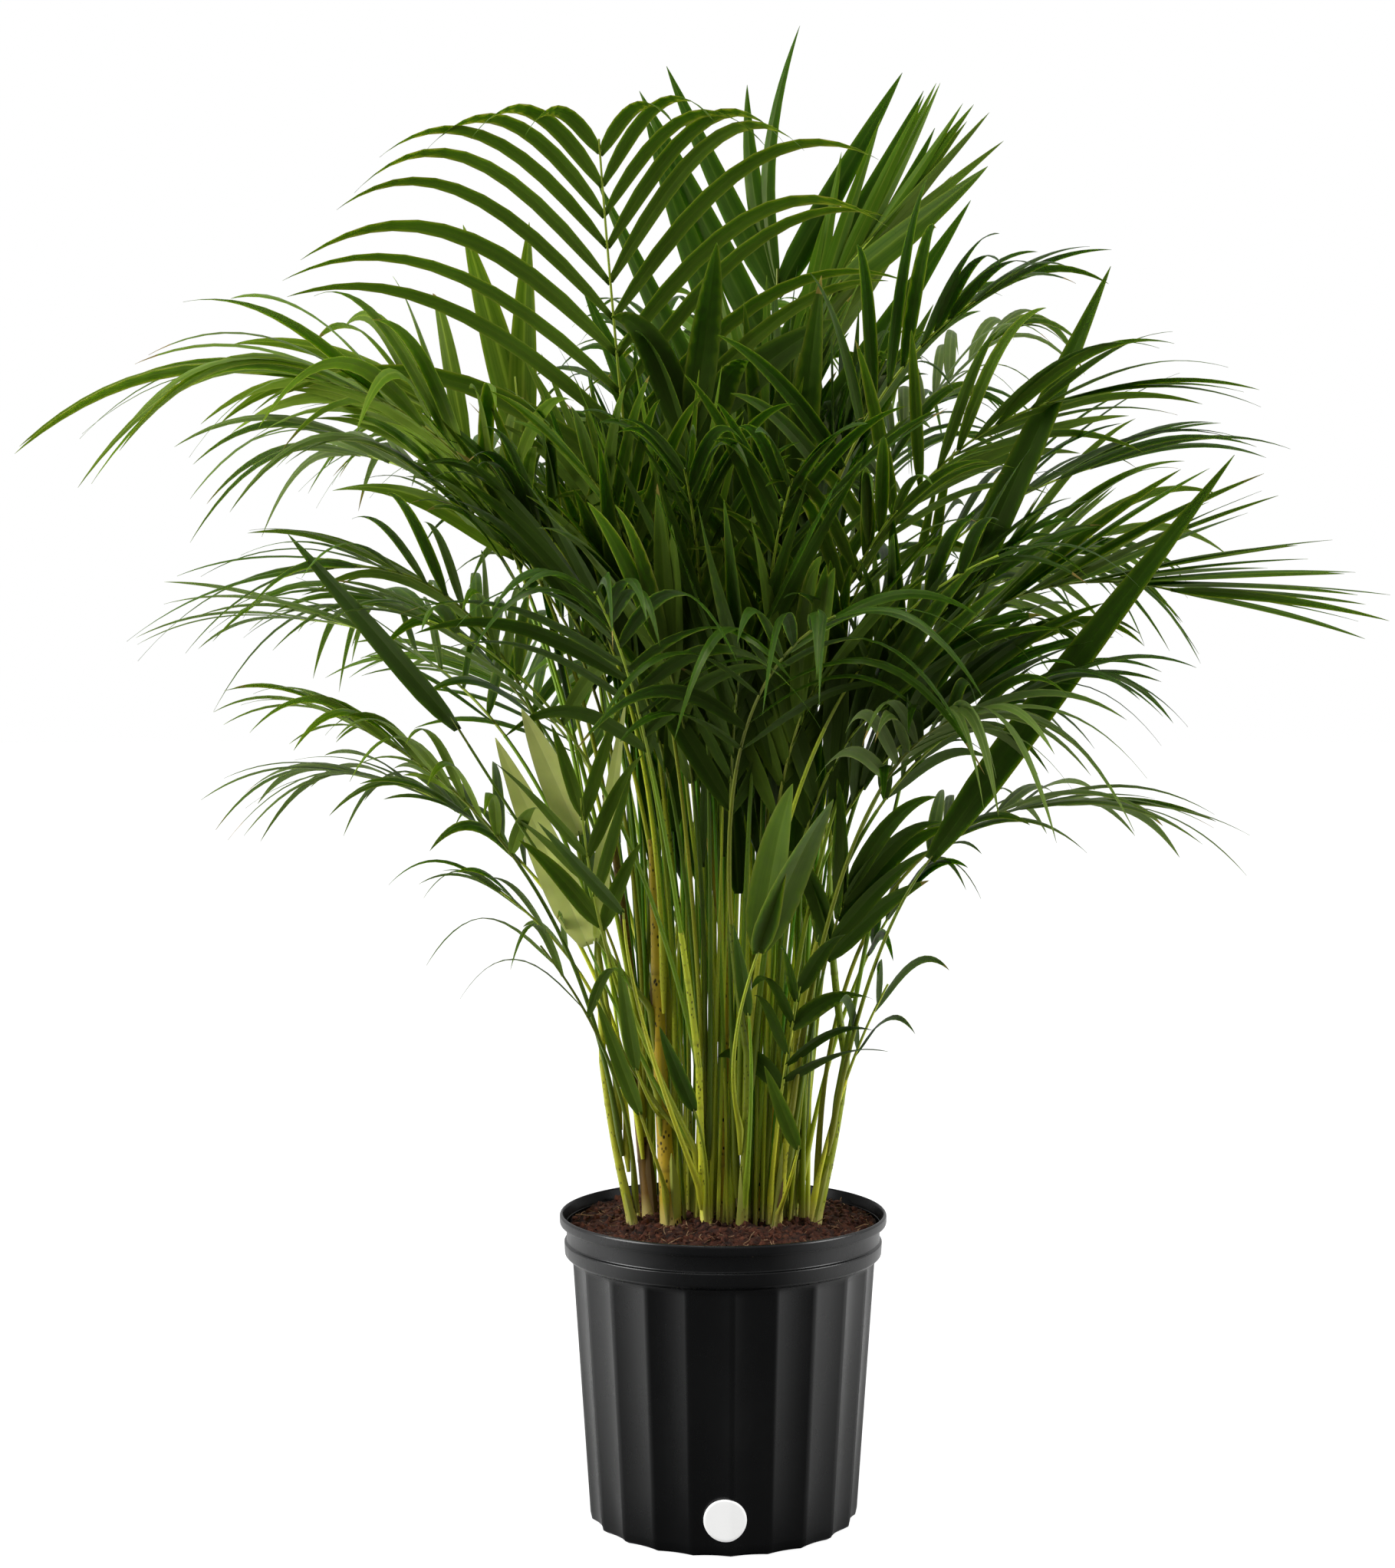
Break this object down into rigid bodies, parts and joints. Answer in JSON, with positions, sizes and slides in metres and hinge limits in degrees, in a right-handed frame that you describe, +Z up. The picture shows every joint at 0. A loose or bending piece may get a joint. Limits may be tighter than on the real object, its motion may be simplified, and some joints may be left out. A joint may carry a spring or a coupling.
{
  "type": "potted areca palm",
  "caption": "Clump of slender yellow-green canes with arching feather-shaped fronds, in a round fluted black grower's pot filled with peat.",
  "frame": {"origin": "middle of the pot's flat underside", "axes": "+Z up through the crown, -Y towards the front with the round label, +X to the right as seen from the front"},
  "size_m": [0.9047, 0.8166, 1.0714],
  "materials": {
    "pot_plastic": "satin black moulded plastic",
    "peat": "rough dark reddish-brown peat",
    "label_paper": "blank matt white sticker",
    "cane": "smooth waxy yellow-green stem with dark specks",
    "leaf_mid": "glossy mid-green leaflets",
    "leaf_dark": "glossy dark green leaflets",
    "leaf_grey": "duller grey-green leaflets",
    "leaf_light": "light yellow-green leaflets",
    "leaf_bright": "bright green young leaflets",
    "leaf_pale": "pale yellow-green young blades"
  },
  "bodies": {
    "root": {"pot": "pot_plastic", "soil": "peat", "label": "label_paper", "cane_01": "cane", "cane_02": "cane", "cane_03": "cane", "cane_04": "cane", "cane_05": "cane", "cane_06": "cane", "cane_07": "cane", "cane_08": "cane", "cane_09": "cane", "cane_10": "cane", "cane_11": "cane", "cane_12": "cane", "cane_13": "cane", "cane_14": "cane", "frond_crown_front": "leaf_mid", "frond_crown_back": "leaf_dark", "frond_crown_right": "leaf_mid", "frond_broad_right": "leaf_mid", "frond_arc_right": "leaf_dark", "frond_arc_right_back": "leaf_grey", "frond_reach_right": "leaf_mid", "frond_reach_right_low": "leaf_dark", "frond_blade_right": "leaf_dark", "frond_blade_right_low": "leaf_dark", "frond_far_right": "leaf_mid", "frond_mid_right": "leaf_mid", "frond_low_right": "leaf_dark", "frond_droop_right": "leaf_grey", "frond_hem_right": "leaf_grey", "frond_small_right": "leaf_dark", "frond_tiny_right": "leaf_dark", "frond_far_left": "leaf_light", "frond_arch_left": "leaf_grey", "frond_reach_left": "leaf_mid", "frond_thin_left": "leaf_grey", "frond_blade_left": "leaf_dark", "frond_light_left": "leaf_light", "frond_grey_left": "leaf_grey", "frond_small_left": "leaf_mid", "frond_low_left": "leaf_mid", "frond_upper_left": "leaf_light", "frond_upright_left": "leaf_light", "frond_front_low": "leaf_dark", "frond_front_right": "leaf_dark", "frond_spikes": "leaf_bright", "frond_pale_left": "leaf_pale", "frond_bifid_front": "leaf_mid", "frond_cluster_right": "leaf_dark", "frond_small_front": "leaf_dark", "frond_broad_centre": "leaf_dark", "frond_upright_right": "leaf_dark", "frond_back_left": "leaf_mid", "frond_back_centre": "leaf_dark", "frond_back_right": "leaf_dark", "frond_back_low_left": "leaf_mid", "frond_back_low": "leaf_mid", "frond_back_low_right": "leaf_dark"}
  },
  "joints": []
}
